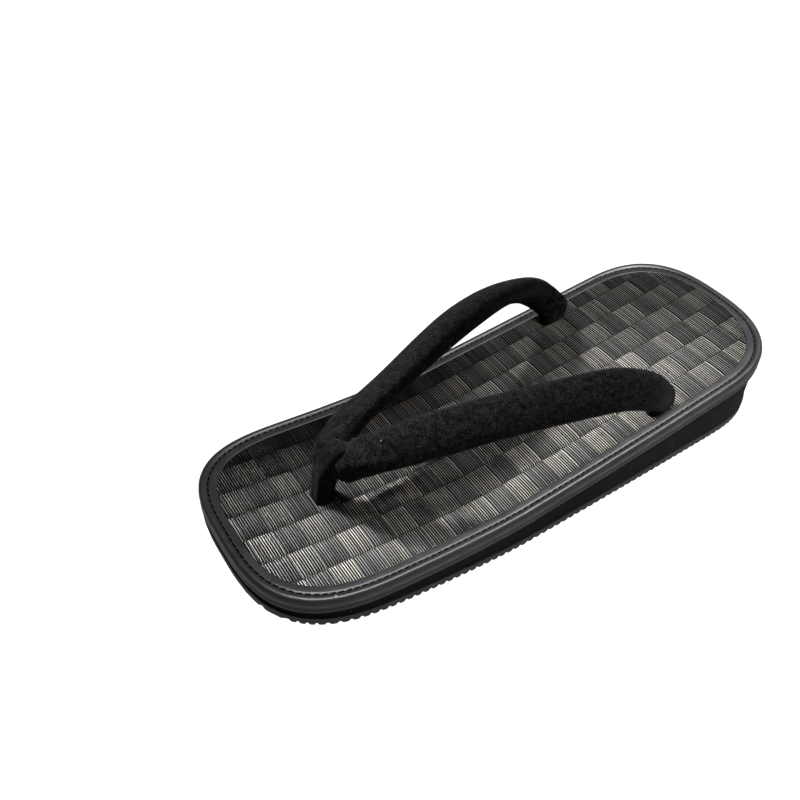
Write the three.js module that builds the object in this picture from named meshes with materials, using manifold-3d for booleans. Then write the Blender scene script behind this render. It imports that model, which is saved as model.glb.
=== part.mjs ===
// Setta sandal: a waved rubber outsole, a sponge wedge, a woven footbed with a bound rim,
// and a padded V strap held at the toe by a loop. Millimetres, +X to the toe, +Z up,
// floor at z = 0. The outline is the same on both sides, so it fits either foot.
import * as THREE from 'three';
import Module from 'manifold-3d';
import { mergeVertices } from 'three/addons/utils/BufferGeometryUtils.js';

// Outline of the sandal, seen from above
const SANDAL_LENGTH = 270;
const END_WIDTH = 94;
const MIDDLE_WIDTH = 97;
const TOE_CAP_LENGTH = 54;
const TOE_CAP_POWER = 3.1;
const HEEL_CAP_LENGTH = 45.5;
const HEEL_CAP_POWER = 2.67;

// Side profile
const HEEL_HEIGHT = 35;
const MIDDLE_HEIGHT = 22;
const TOE_THICKNESS = 13.5;
const TOE_SPRING = 19;
const SPRING_START = 24;
const SPRING_POWER = 1.4;

// Layers
const JOINT_GAP = 0.3;
const OUTSOLE_THICKNESS = 4;
const OUTSOLE_SETBACK = 0.4;
const BINDING_DEPTH = 6.8;
const BINDING_BAND = 7;
const BINDING_WALL = 1.2;
const BINDING_CROWN = 0.5;
const BAND_THICKNESS = 2.3;
const MAT_DROP = 0.3;

// Section of the folded tape, as inset from the outline and rise above the top surface
const BINDING_SECTION = [
  { inset: BINDING_WALL, rise: -BINDING_DEPTH },
  { inset: 0.4, rise: -BINDING_DEPTH },
  { inset: 0, rise: -6 },
  { inset: 0, rise: -2 },
  { inset: 0.6, rise: -0.5 },
  { inset: 2, rise: BINDING_CROWN },
  { inset: 5.8, rise: BINDING_CROWN },
  { inset: BINDING_BAND, rise: -0.4 },
  { inset: BINDING_BAND, rise: -BAND_THICKNESS },
  { inset: BINDING_WALL, rise: -BAND_THICKNESS },
];

// Tread: V grooves in waves across the sole, and a plain plate near the heel
const GROOVE_PITCH = 4.8;
const GROOVE_WIDTH = 2.3;
const GROOVE_DEPTH = 1.8;
const WAVE_LENGTH = 17;
const WAVE_SWING = 1.9;
const TREAD_MARGIN = 8;
const GROOVES_PER_TOP_STEP = 2;
const PLATE_LENGTH = 50;
const PLATE_WIDTH = 24;
const PLATE_CENTRE_X = -62;
const PLATE_INSET = 0.6;

// Toe loop, its side view from the hole round the strap joint
const LOOP_WIDTH = 8.6;
const LOOP_ROUNDING = 2.2;
const LOOP_ROUNDING_STEPS = 2;
const LOOP_PROFILE = [
  { x: 86, z: 20 },
  { x: 94.2, z: 20 },
  { x: 93.8, z: 29 },
  { x: 92.8, z: 37 },
  { x: 91.4, z: 46 },
  { x: 89.8, z: 51 },
  { x: 87, z: 54.4 },
  { x: 82.8, z: 54.8 },
  { x: 79, z: 53 },
  { x: 77.2, z: 48 },
  { x: 78.8, z: 43.4 },
  { x: 82, z: 38.4 },
  { x: 84.8, z: 31 },
];

// One arm of the strap, from the joint at the toe back to its hole. The lean is the
// turn of the flat face from up to outwards.
const ARM_SECTIONS = [
  { x: 88, y: 5.6, z: 47.2, width: 6, thickness: 5.6, lean: 0 },
  { x: 85.2, y: 5.4, z: 48.2, width: 11.6, thickness: 8.8, lean: 8 },
  { x: 79.4, y: 6.2, z: 49.7, width: 14, thickness: 9.4, lean: 18 },
  { x: 70, y: 10.4, z: 51.2, width: 16.4, thickness: 9.2, lean: 30 },
  { x: 52, y: 15.4, z: 52.9, width: 18, thickness: 9, lean: 36 },
  { x: 28, y: 22, z: 55, width: 18, thickness: 9, lean: 38 },
  { x: 2, y: 29.3, z: 55.7, width: 18, thickness: 9, lean: 40 },
  { x: -22.5, y: 36, z: 53.8, width: 18, thickness: 9, lean: 45 },
  { x: -42.5, y: 40.4, z: 46.8, width: 17, thickness: 9, lean: 58 },
  { x: -54.4, y: 39.9, z: 37.8, width: 15.3, thickness: 8.2, lean: 75 },
  { x: -58.4, y: 37.9, z: 31.4, width: 14.4, thickness: 7.2, lean: 84 },
  { x: -58.9, y: 35.6, z: 22, width: 12.4, thickness: 5.4, lean: 88 },
];
const ARM_POWER = 2.3;

// Fineness of the round forms
const SIDE_STEPS = 8;
const CAP_STEPS = 12;
const ARM_STEPS = 28;
const ARM_SIDES = 12;
const WELD = 1e-4;

const wasm = await Module();
wasm.setup();

const halfLength = SANDAL_LENGTH / 2;

// Heights of the sole along its length

function bottomHeight(x) {
  const along = Math.max(x - SPRING_START, 0) / (halfLength - SPRING_START);
  return TOE_SPRING * along ** SPRING_POWER;
}

function soleThickness(x) {
  const along = x / halfLength;
  const taper = (TOE_THICKNESS - HEEL_HEIGHT) / 2;
  const dish = (TOE_THICKNESS + HEEL_HEIGHT) / 2 - MIDDLE_HEIGHT;
  return MIDDLE_HEIGHT + taper * along + dish * along * along;
}

function topHeight(x) {
  return bottomHeight(x) + soleThickness(x);
}

// Outline, set in by a distance

function halfWidth(x) {
  const along = x / halfLength;
  return END_WIDTH / 2 + ((MIDDLE_WIDTH - END_WIDTH) / 2) * (1 - along * along);
}

// Points of one side from the middle to an end, direction +1 to the toe and -1 to the heel
function sidePoints(direction, inset) {
  const cap = direction > 0 ? TOE_CAP_LENGTH : HEEL_CAP_LENGTH;
  const power = direction > 0 ? TOE_CAP_POWER : HEEL_CAP_POWER;
  const straight = halfLength - cap;
  const points = [];
  for (let i = 0; i < SIDE_STEPS; i += 1) {
    const x = (direction * straight * i) / SIDE_STEPS;
    points.push({ x, y: halfWidth(x) - inset });
  }
  for (let i = 0; i <= CAP_STEPS; i += 1) {
    const angle = (Math.PI / 2) * (i / CAP_STEPS);
    const x = direction * (straight + (cap - inset) * Math.sin(angle) ** (2 / power));
    const y = (halfWidth(x) - inset) * Math.max(Math.cos(angle), 0) ** (2 / power);
    points.push({ x, y: i === CAP_STEPS ? 0 : y });
  }
  return points;
}

// Closed ring from the toe tip round the +Y side to the heel and back
function outlineRing(inset) {
  const toeSide = sidePoints(1, inset).reverse();
  const heelSide = sidePoints(-1, inset).slice(1);
  const left = toeSide.concat(heelSide);
  const right = left.slice(1, -1).reverse();
  return left.concat(right.map(({ x, y }) => ({ x, y: -y })));
}

function levelRing({ inset, height }) {
  return outlineRing(inset).map(({ x, y }) => new THREE.Vector3(x, y, height(x)));
}

// Mesh building

function meshGeometry(points, triangles) {
  const geometry = new THREE.BufferGeometry();
  const positions = points.flatMap((point) => [point.x, point.y, point.z]);
  geometry.setAttribute('position', new THREE.Float32BufferAttribute(positions, 3));
  geometry.setIndex(triangles.flat());
  geometry.computeVertexNormals();
  return geometry;
}

// Triangles across a ring of the outline, strip by strip from toe to heel
function stripCap(count) {
  const half = count / 2;
  const triangles = [[0, 1, count - 1]];
  for (let i = 1; i < half - 1; i += 1) {
    triangles.push([i, i + 1, count - i - 1], [i, count - i - 1, count - i]);
  }
  triangles.push([half - 1, half, half + 1]);
  return triangles;
}

function fanCap(count) {
  return Array.from({ length: count - 2 }, (_, i) => [0, i + 1, i + 2]);
}

// Solid through rings of equal length, each turning left about the way from first to last
function loftGeometry(rings, cap) {
  const count = rings[0].length;
  const triangles = [];
  for (let level = 0; level < rings.length - 1; level += 1) {
    for (let i = 0; i < count; i += 1) {
      const a = level * count + i;
      const b = level * count + ((i + 1) % count);
      triangles.push([a, b, b + count], [a, b + count, a + count]);
    }
  }
  const last = (rings.length - 1) * count;
  cap(count).forEach(([a, b, c]) => {
    triangles.push([a, c, b], [a + last, b + last, c + last]);
  });
  return meshGeometry(rings.flat(), triangles);
}

// Ring of one section carried round the outline and closed on itself
function sweptRingGeometry(section) {
  const rings = section.map(levelRing);
  const count = rings[0].length;
  const triangles = [];
  rings.forEach((ring, level) => {
    const next = (level + 1) % rings.length;
    ring.forEach((point, i) => {
      const j = (i + 1) % count;
      const a = level * count + i;
      const b = level * count + j;
      const c = next * count + j;
      const d = next * count + i;
      triangles.push([a, b, c], [a, c, d]);
    });
  });
  return meshGeometry(rings.flat(), triangles);
}

function toSolid(geometry) {
  const bare = geometry.clone();
  bare.deleteAttribute('normal');
  const welded = mergeVertices(bare, WELD);
  return new wasm.Manifold(
    new wasm.Mesh({
      numProp: 3,
      vertProperties: new Float32Array(welded.attributes.position.array),
      triVerts: new Uint32Array(welded.index.array),
    }),
  );
}

function toGeometry(solid) {
  const mesh = solid.getMesh();
  const geometry = new THREE.BufferGeometry();
  geometry.setAttribute('position', new THREE.BufferAttribute(mesh.vertProperties, 3));
  geometry.setIndex(new THREE.BufferAttribute(mesh.triVerts, 1));
  geometry.computeVertexNormals();
  return geometry;
}

function finish(name, geometry, color, roughness) {
  const material = new THREE.MeshStandardMaterial({ color, roughness, metalness: 0 });
  const mesh = new THREE.Mesh(geometry, material);
  mesh.name = name;
  return mesh;
}

// Outsole: a waved sheet cut to the outline

// Outline of the sheet's side view, grooved below, for a column whose waves shift by swing
function treadColumn(y, swing) {
  const grooves = Math.ceil((halfLength + TREAD_MARGIN) / GROOVE_PITCH);
  const below = [];
  const above = [];
  for (let i = -grooves; i <= grooves; i += 1) {
    const centre = i * GROOVE_PITCH + swing;
    const before = centre - GROOVE_WIDTH / 2;
    const after = centre + GROOVE_WIDTH / 2;
    below.push(new THREE.Vector3(before, y, bottomHeight(before)));
    below.push(new THREE.Vector3(centre, y, bottomHeight(centre) + GROOVE_DEPTH));
    below.push(new THREE.Vector3(after, y, bottomHeight(after)));
    if (i % GROOVES_PER_TOP_STEP === 0 || Math.abs(i) === grooves) {
      above.push(new THREE.Vector3(centre, y, bottomHeight(centre) + OUTSOLE_THICKNESS));
    }
  }
  return below.concat(above.reverse());
}

function boundaryCap(column) {
  const contour = column.map(({ x, z }) => new THREE.Vector2(x, z));
  return () => THREE.ShapeUtils.triangulateShape(contour, []);
}

function boxSolid(sizeX, sizeY, sizeZ, centreX, centreZ) {
  const box = new THREE.BoxGeometry(sizeX, sizeY, sizeZ);
  box.translate(centreX, 0, centreZ);
  box.deleteAttribute('uv');
  return toSolid(box);
}

function outsoleGeometry() {
  const columns = 2 * Math.ceil((MIDDLE_WIDTH / 2 + 1) / WAVE_LENGTH);
  const rings = [];
  for (let i = columns; i >= -columns; i -= 1) {
    const swing = i % 2 === 0 ? WAVE_SWING : -WAVE_SWING;
    rings.push(treadColumn((i * WAVE_LENGTH) / 2, swing));
  }
  const sheet = toSolid(loftGeometry(rings, boundaryCap(rings[0])));
  const low = -TREAD_MARGIN;
  const high = TOE_SPRING + OUTSOLE_THICKNESS + TREAD_MARGIN;
  const prism = toSolid(
    loftGeometry(
      [
        levelRing({ inset: 0, height: () => low }),
        levelRing({ inset: 0, height: () => high }),
      ],
      stripCap,
    ),
  );
  const plateTop = (GROOVE_DEPTH + OUTSOLE_THICKNESS) / 2;
  const plateThickness = plateTop - PLATE_INSET;
  const plateZ = PLATE_INSET + plateThickness / 2;
  const plate = boxSolid(PLATE_LENGTH, PLATE_WIDTH, plateThickness, PLATE_CENTRE_X, plateZ);
  const recess = boxSolid(PLATE_LENGTH, PLATE_WIDTH, 2 * PLATE_INSET, PLATE_CENTRE_X, 0);
  return toGeometry(sheet.intersect(prism).add(plate).subtract(recess));
}

// Midsole, rim and footbed

function midsoleGeometry() {
  const wallInset = BINDING_WALL + JOINT_GAP;
  const levels = [
    { inset: OUTSOLE_SETBACK, height: (x) => bottomHeight(x) + OUTSOLE_THICKNESS + JOINT_GAP },
    { inset: wallInset, height: (x) => topHeight(x) - BINDING_DEPTH - JOINT_GAP },
    { inset: wallInset, height: (x) => topHeight(x) - BAND_THICKNESS - JOINT_GAP },
  ];
  return loftGeometry(levels.map(levelRing), stripCap);
}

function bindingGeometry() {
  const section = BINDING_SECTION.map(({ inset, rise }) => ({
    inset,
    height: (x) => topHeight(x) + rise,
  }));
  return sweptRingGeometry(section);
}

function footbedGeometry(cutters) {
  const inset = BINDING_BAND + JOINT_GAP;
  const levels = [
    { inset, height: (x) => topHeight(x) - BAND_THICKNESS },
    { inset, height: (x) => topHeight(x) - MAT_DROP },
  ];
  const sheet = toSolid(loftGeometry(levels.map(levelRing), stripCap));
  return toGeometry(cutters.reduce((rest, cutter) => rest.subtract(cutter), sheet));
}

// Strap: a flattened tube along each arm, joined at the toe

function armValue(key, along) {
  const last = ARM_SECTIONS.length - 1;
  const place = along * last;
  const row = Math.min(Math.floor(place), last - 1);
  const part = place - row;
  const at = (i) => ARM_SECTIONS[Math.min(Math.max(i, 0), last)][key];
  const slopeIn = (at(row + 1) - at(row - 1)) / 2;
  const slopeOut = (at(row + 2) - at(row)) / 2;
  const rise = at(row + 1) - at(row);
  const square = 3 * rise - 2 * slopeIn - slopeOut;
  const cube = slopeIn + slopeOut - 2 * rise;
  return at(row) + part * (slopeIn + part * (square + part * cube));
}

function armPoint(along) {
  return new THREE.Vector3(armValue('x', along), armValue('y', along), armValue('z', along));
}

// Section ring across the arm, grown by a margin all round
function armRing(along, margin) {
  const step = 0.5 / ARM_STEPS;
  const ahead = armPoint(Math.min(along + step, 1));
  const behind = armPoint(Math.max(along - step, 0));
  const tangent = ahead.sub(behind).normalize();
  const lean = THREE.MathUtils.degToRad(armValue('lean', along));
  const face = new THREE.Vector3(0, Math.sin(lean), Math.cos(lean));
  face.addScaledVector(tangent, -face.dot(tangent)).normalize();
  const across = new THREE.Vector3().crossVectors(face, tangent);
  const halfAcross = armValue('width', along) / 2 + margin;
  const halfThick = armValue('thickness', along) / 2 + margin;
  const overrun = margin * (Number(along === 1) - Number(along === 0));
  const centre = armPoint(along).addScaledVector(tangent, overrun);
  return Array.from({ length: ARM_SIDES }, (_, i) => {
    const angle = (2 * Math.PI * i) / ARM_SIDES;
    const c = Math.cos(angle);
    const s = Math.sin(angle);
    const u = Math.sign(c) * Math.abs(c) ** (2 / ARM_POWER) * halfAcross;
    const v = Math.sign(s) * Math.abs(s) ** (2 / ARM_POWER) * halfThick;
    return centre.clone().addScaledVector(across, u).addScaledVector(face, v);
  });
}

function mirrored(ring) {
  return ring.map(({ x, y, z }) => new THREE.Vector3(x, -y, z)).reverse();
}

function strapSolid(margin) {
  const rings = Array.from({ length: ARM_STEPS + 1 }, (_, i) => armRing(i / ARM_STEPS, margin));
  const left = toSolid(loftGeometry(rings, fanCap));
  const right = toSolid(loftGeometry(rings.map(mirrored), fanCap));
  return left.add(right);
}

// Toe loop: its side view carried across, with rounded flanks, less the strap it holds

// Side view grown outwards by a distance, or drawn in by a negative one
function grownProfile(distance) {
  const corner = (i) => LOOP_PROFILE[(i + LOOP_PROFILE.length) % LOOP_PROFILE.length];
  const edgeNormal = (from, to) => new THREE.Vector2(to.z - from.z, from.x - to.x).normalize();
  return LOOP_PROFILE.map(({ x, z }, i) => {
    const before = edgeNormal(corner(i - 1), corner(i));
    const after = edgeNormal(corner(i), corner(i + 1));
    const outward = before.clone().add(after).normalize();
    outward.multiplyScalar(distance / outward.dot(before));
    return { x: x + outward.x, z: z + outward.y };
  });
}

function loopSolid(margin) {
  const flank = LOOP_WIDTH / 2 + margin;
  const slices = [];
  for (let i = 0; i <= LOOP_ROUNDING_STEPS; i += 1) {
    const angle = (Math.PI / 2) * (i / LOOP_ROUNDING_STEPS);
    const y = flank - LOOP_ROUNDING * (1 - Math.cos(angle));
    slices.push({ y, growth: margin - LOOP_ROUNDING * (1 - Math.sin(angle)) });
  }
  const opposite = slices.map(({ y, growth }) => ({ y: -y, growth })).reverse();
  const rings = slices.concat(opposite).map(({ y, growth }) =>
    grownProfile(growth).map(({ x, z }) => new THREE.Vector3(x, y, z)),
  );
  return toSolid(loftGeometry(rings, boundaryCap(rings[0])));
}

// Everything under the footbed, where the ends of strap and loop stop
function underMatSolid() {
  const levels = [
    { inset: 0, height: () => -TREAD_MARGIN },
    { inset: 0, height: (x) => topHeight(x) - BAND_THICKNESS },
  ];
  return toSolid(loftGeometry(levels.map(levelRing), stripCap));
}

function toePostGeometry() {
  const loop = loopSolid(0).subtract(strapSolid(JOINT_GAP));
  return toGeometry(loop.subtract(underMatSolid()));
}

function strapGeometry() {
  return toGeometry(strapSolid(0).subtract(underMatSolid()));
}

const sandal = new THREE.Group();
sandal.add(finish('outsole', outsoleGeometry(), 0x1c1c1d, 0.75));
sandal.add(finish('midsole', midsoleGeometry(), 0x0e0e0f, 0.9));
sandal.add(finish('edge_binding', bindingGeometry(), 0x2a2c2e, 0.45));
sandal.add(
  finish('footbed', footbedGeometry([strapSolid(JOINT_GAP), loopSolid(JOINT_GAP)]), 0x4a473f, 0.5),
);
sandal.add(finish('strap', strapGeometry(), 0x0b0b0c, 0.95));
sandal.add(finish('toe_post', toePostGeometry(), 0x0b0b0c, 0.95));

export default sandal;
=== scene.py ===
import math

import bpy
import numpy as np
from mathutils import Matrix, Vector


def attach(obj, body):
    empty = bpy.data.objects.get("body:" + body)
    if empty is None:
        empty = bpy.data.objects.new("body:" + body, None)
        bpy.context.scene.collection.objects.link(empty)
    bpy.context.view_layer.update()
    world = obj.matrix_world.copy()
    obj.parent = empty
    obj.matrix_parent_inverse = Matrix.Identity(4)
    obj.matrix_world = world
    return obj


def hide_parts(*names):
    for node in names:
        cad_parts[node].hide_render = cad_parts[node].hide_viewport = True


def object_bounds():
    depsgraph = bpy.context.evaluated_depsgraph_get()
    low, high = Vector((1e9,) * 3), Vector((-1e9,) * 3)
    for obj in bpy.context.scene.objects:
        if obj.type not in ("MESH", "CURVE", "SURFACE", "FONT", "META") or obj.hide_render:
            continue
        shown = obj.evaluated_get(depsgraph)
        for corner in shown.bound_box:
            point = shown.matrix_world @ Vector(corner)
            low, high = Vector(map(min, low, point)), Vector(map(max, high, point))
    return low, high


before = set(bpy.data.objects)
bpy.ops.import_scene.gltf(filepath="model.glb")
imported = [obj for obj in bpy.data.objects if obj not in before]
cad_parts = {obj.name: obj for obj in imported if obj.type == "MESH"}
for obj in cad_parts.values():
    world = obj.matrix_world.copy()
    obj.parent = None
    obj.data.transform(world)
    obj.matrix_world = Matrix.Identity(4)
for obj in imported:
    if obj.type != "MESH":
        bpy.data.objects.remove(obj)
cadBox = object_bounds()
bpy.ops.object.select_all(action="DESELECT")
mm = 0.001


# The sandal's outline and side profile, the same for every layer

sole = {
    "length": cadBox[1][0] - cadBox[0][0],
    "endWidth": 94 * mm,
    "middleWidth": 97 * mm,
    "toeCap": 54 * mm,
    "toePower": 3.1,
    "heelCap": 45.5 * mm,
    "heelPower": 2.67,
    "heelHeight": 35 * mm,
    "middleHeight": 22 * mm,
    "toeThickness": 13.5 * mm,
    "toeSpring": 19 * mm,
    "springStart": 24 * mm,
    "springPower": 1.4,
}
halfLength = sole["length"] / 2


def bottomHeight(x):
    along = np.maximum(x - sole["springStart"], 0) / (halfLength - sole["springStart"])
    return sole["toeSpring"] * along ** sole["springPower"]


def topHeight(x):
    along = x / halfLength
    taper = (sole["toeThickness"] - sole["heelHeight"]) / 2
    dish = (sole["toeThickness"] + sole["heelHeight"]) / 2 - sole["middleHeight"]
    return bottomHeight(x) + sole["middleHeight"] + taper * along + dish * along ** 2


def halfWidth(x):
    swell = (sole["middleWidth"] - sole["endWidth"]) / 2
    return sole["endWidth"] / 2 + swell * (1 - (x / halfLength) ** 2)


def edgeAt(x, inset):
    # half width of the outline at x, set in all round
    cap = np.where(x > 0, sole["toeCap"], sole["heelCap"])
    power = np.where(x > 0, sole["toePower"], sole["heelPower"])
    part = np.clip((np.abs(x) - (halfLength - cap)) / (cap - inset), 0, 1)
    return (halfWidth(x) - inset) * (1 - part ** power) ** (1 / power)


def outlineAt(stop, inset):
    # a stop runs from 0 at the heel tip over 3 at the toe tip back to 6
    half = np.where(stop > 3, 6 - stop, stop)
    side = np.where(stop > 3, -1, 1)
    toeBend = np.clip(half - 2, 0, 1) * math.pi / 2
    heelBend = np.clip(1 - half, 0, 1) * math.pi / 2
    toeStart = halfLength - sole["toeCap"]
    heelStart = sole["heelCap"] - halfLength
    x = heelStart + (toeStart - heelStart) * np.clip(half - 1, 0, 1)
    x = x + (sole["toeCap"] - inset) * np.sin(toeBend) ** (2 / sole["toePower"])
    x = x - (sole["heelCap"] - inset) * np.sin(heelBend) ** (2 / sole["heelPower"])
    y = (halfWidth(x) - inset) * np.cos(toeBend) ** (2 / sole["toePower"])
    y = y * np.cos(heelBend) ** (2 / sole["heelPower"])
    return x, side * y


def evenStops(count, inset=0.0):
    # stops that stand the same distance apart round the outline
    fine = np.linspace(0, 6, 24001)
    x, y = outlineAt(fine, inset)
    run = np.concatenate([[0], np.cumsum(np.hypot(np.diff(x), np.diff(y)))])
    return np.interp(np.arange(count) / count * run[-1], run, fine), run[-1]


# Small tools for meshes

def readPoints(piece):
    points = np.empty(len(piece.data.vertices) * 3)
    piece.data.vertices.foreach_get("co", points)
    return points.reshape(-1, 3)


def writePoints(piece, points):
    piece.data.vertices.foreach_set("co", np.ascontiguousarray(points, dtype=np.float32).ravel())
    piece.data.update()


def readNormals(piece):
    normals = np.empty(len(piece.data.vertices) * 3)
    piece.data.vertices.foreach_get("normal", normals)
    return normals.reshape(-1, 3)


def nameNewest(name):
    piece = bpy.context.object
    piece.name = name
    piece.data.name = name
    return piece


def pick(piece):
    bpy.ops.object.select_all(action="DESELECT")
    piece.select_set(True)
    bpy.context.view_layer.objects.active = piece


def applyModifier(piece, kind, **values):
    pick(piece)
    modifier = piece.modifiers.new(kind.title(), kind)
    for key, value in values.items():
        setattr(modifier, key, value)
    bpy.ops.object.modifier_apply(modifier=modifier.name)


def facesOut(piece):
    pick(piece)
    bpy.ops.object.mode_set(mode="EDIT")
    bpy.ops.mesh.select_all(action="SELECT")
    bpy.ops.mesh.remove_doubles(threshold=0.001 * mm)
    bpy.ops.mesh.normals_make_consistent(inside=False)
    bpy.ops.object.mode_set(mode="OBJECT")


def pickParts(piece, kind, chosen):
    # back in edit mode with only the chosen edges or faces selected
    pick(piece)
    bpy.ops.object.mode_set(mode="EDIT")
    bpy.ops.mesh.select_mode(type=kind)
    bpy.ops.mesh.select_all(action="DESELECT")
    bpy.ops.object.mode_set(mode="OBJECT")
    for part in piece.data.edges if kind == "EDGE" else piece.data.polygons:
        part.select = bool(chosen(part))
    bpy.ops.object.mode_set(mode="EDIT")


def newTube(name, around, levels):
    # a circle drawn up level by level, closed at both ends
    bpy.ops.object.select_all(action="DESELECT")
    bpy.ops.mesh.primitive_circle_add(vertices=around, radius=1, fill_type="NGON")
    piece = nameNewest(name)
    bpy.ops.object.mode_set(mode="EDIT")
    bpy.ops.mesh.select_all(action="SELECT")
    for level in range(levels):
        bpy.ops.mesh.extrude_region_move(TRANSFORM_OT_translate={"value": (0, 0, 1)})
    bpy.ops.object.mode_set(mode="OBJECT")
    points = readPoints(piece)
    turn = np.arctan2(points[:, 1], points[:, 0]) / (2 * math.pi) * around
    return piece, np.rint(turn).astype(int) % around, np.rint(points[:, 2]).astype(int)


def newSlab(name, columns, rows):
    # a grid drawn up into a slab: its column, its place across from -1 to 1, and which points are above
    bpy.ops.object.select_all(action="DESELECT")
    bpy.ops.mesh.primitive_grid_add(x_subdivisions=columns, y_subdivisions=rows, size=2)
    piece = nameNewest(name)
    bpy.ops.object.mode_set(mode="EDIT")
    bpy.ops.mesh.select_all(action="SELECT")
    bpy.ops.mesh.extrude_region_move(TRANSFORM_OT_translate={"value": (0, 0, 1)})
    bpy.ops.object.mode_set(mode="OBJECT")
    points = readPoints(piece)
    column = np.rint((points[:, 0] + 1) / 2 * columns).astype(int)
    return piece, column, points[:, 1], points[:, 2] > 0.5


def smoothShade(piece, degrees=None):
    pick(piece)
    if degrees is None:
        bpy.ops.object.shade_smooth()
    else:
        bpy.ops.object.shade_smooth_by_angle(angle=math.radians(degrees))


def joinedCopies(name, model, places):
    # a copy of the model at each place, a place being a 4 x 4 matrix, joined into one piece
    copies = []
    for place in places:
        copy = model.copy()
        copy.data = model.data.copy()
        copy.data.transform(place)
        bpy.context.collection.objects.link(copy)
        copies.append(copy)
    bpy.data.objects.remove(model)
    pick(copies[0])
    for copy in copies[1:]:
        copy.select_set(True)
    bpy.ops.object.join()
    return nameNewest(name)


def pressFolds(piece, folds):
    # soft troughs along short lines, a ridge where the depth is negative
    points = readPoints(piece)
    press = np.zeros(len(points))
    for fold in folds:
        start = np.array(fold["from"]) * mm
        run = np.array(fold["to"]) * mm - start
        part = np.clip((points - start) @ run / (run @ run), 0, 1)
        away = np.linalg.norm(points - start - part[:, None] * run, axis=1)
        press += fold["depth"] * mm * np.exp(-(away / (fold["width"] * mm)) ** 2)
    writePoints(piece, points - readNormals(piece) * press[:, None])


def smoothStep(value, low, high):
    part = np.clip((value - low) / (high - low), 0, 1)
    return part * part * (3 - 2 * part)


def hump(value, middle, reach):
    return np.exp(-((value - middle) / reach) ** 2)


def unit(vectors):
    return vectors / np.linalg.norm(vectors, axis=-1, keepdims=True)


def throughRows(at, row, part):
    # smooth curve through the rows of a table, part being the way from one row to the next
    slopeIn = (at(row + 1) - at(row - 1)) / 2
    slopeOut = (at(row + 2) - at(row)) / 2
    rise = at(row + 1) - at(row)
    square = 3 * rise - 2 * slopeIn - slopeOut
    cube = slopeIn + slopeOut - 2 * rise
    return at(row) + part * (slopeIn + part * (square + part * cube))


# Node groups shared by the finishes

def newGroup(name, values, output):
    # a group that reads a vector and some values and puts out one value
    group = bpy.data.node_groups.new(name, "ShaderNodeTree")
    group.interface.new_socket(name="Vector", in_out="INPUT", socket_type="NodeSocketVector")
    for label in values:
        group.interface.new_socket(name=label, in_out="INPUT", socket_type="NodeSocketFloat")
    group.interface.new_socket(name=output, in_out="OUTPUT", socket_type="NodeSocketFloat")
    return group, group.nodes.new("NodeGroupInput"), group.nodes.new("NodeGroupOutput")


def feed(tree, socket, value):
    # a number or a colour is set on the socket, another node's output is linked to it
    if isinstance(value, (int, float)):
        socket.default_value = value
    elif isinstance(value, tuple):
        socket.default_value = (*value, 1)
    else:
        tree.links.new(value, socket)


def mathNode(tree, operation, *values):
    node = tree.nodes.new("ShaderNodeMath")
    node.operation = operation
    for socket, value in zip(node.inputs, values):
        feed(tree, socket, value)
    return node.outputs[0]


def rangeNode(tree, value, fromLow, fromHigh, toLow, toHigh):
    node = tree.nodes.new("ShaderNodeMapRange")
    feed(tree, node.inputs["Value"], value)
    feed(tree, node.inputs["From Min"], fromLow)
    feed(tree, node.inputs["From Max"], fromHigh)
    feed(tree, node.inputs["To Min"], toLow)
    feed(tree, node.inputs["To Max"], toHigh)
    return node.outputs["Result"]


def fineGrainGroup():
    # two sizes of noise added up, as a height
    group, inn, out = newGroup("fineGrain", ["Scale", "Coarse"], "Height")
    fine = group.nodes.new("ShaderNodeTexNoise")
    fine.inputs["Detail"].default_value = 3
    coarse = group.nodes.new("ShaderNodeTexNoise")
    coarse.inputs["Detail"].default_value = 1
    for noise in (fine, coarse):
        group.links.new(inn.outputs["Vector"], noise.inputs["Vector"])
    group.links.new(inn.outputs["Scale"], fine.inputs["Scale"])
    group.links.new(mathNode(group, "MULTIPLY", inn.outputs["Scale"], 0.2), coarse.inputs["Scale"])
    swell = mathNode(group, "MULTIPLY", coarse.outputs["Fac"], inn.outputs["Coarse"])
    group.links.new(mathNode(group, "ADD", fine.outputs["Fac"], swell), out.inputs["Height"])
    return group


def dustGroup():
    # scattered round specks, as a mask
    group, inn, out = newGroup("dustSpecks", ["Scale", "Share", "Size"], "Mask")
    cells = group.nodes.new("ShaderNodeTexVoronoi")
    group.links.new(inn.outputs["Vector"], cells.inputs["Vector"])
    group.links.new(inn.outputs["Scale"], cells.inputs["Scale"])
    chosen = group.nodes.new("ShaderNodeSeparateColor")
    group.links.new(cells.outputs["Color"], chosen.inputs["Color"])
    kept = mathNode(group, "LESS_THAN", chosen.outputs["Red"], inn.outputs["Share"])
    reach = mathNode(group, "MULTIPLY", chosen.outputs["Green"], inn.outputs["Size"])
    near = mathNode(group, "LESS_THAN", cells.outputs["Distance"], reach)
    group.links.new(mathNode(group, "MULTIPLY", kept, near), out.inputs["Mask"])
    return group


def toneGroup():
    # slow drift between two tones
    group, inn, out = newGroup("toneDrift", ["Scale", "Low", "High"], "Tone")
    noise = group.nodes.new("ShaderNodeTexNoise")
    noise.inputs["Detail"].default_value = 2
    group.links.new(inn.outputs["Vector"], noise.inputs["Vector"])
    group.links.new(inn.outputs["Scale"], noise.inputs["Scale"])
    tone = rangeNode(group, noise.outputs["Fac"], 0.3, 0.7, inn.outputs["Low"], inn.outputs["High"])
    group.links.new(tone, out.inputs["Tone"])
    return group


grainNodes = fineGrainGroup()
dustNodes = dustGroup()
toneNodes = toneGroup()


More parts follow.
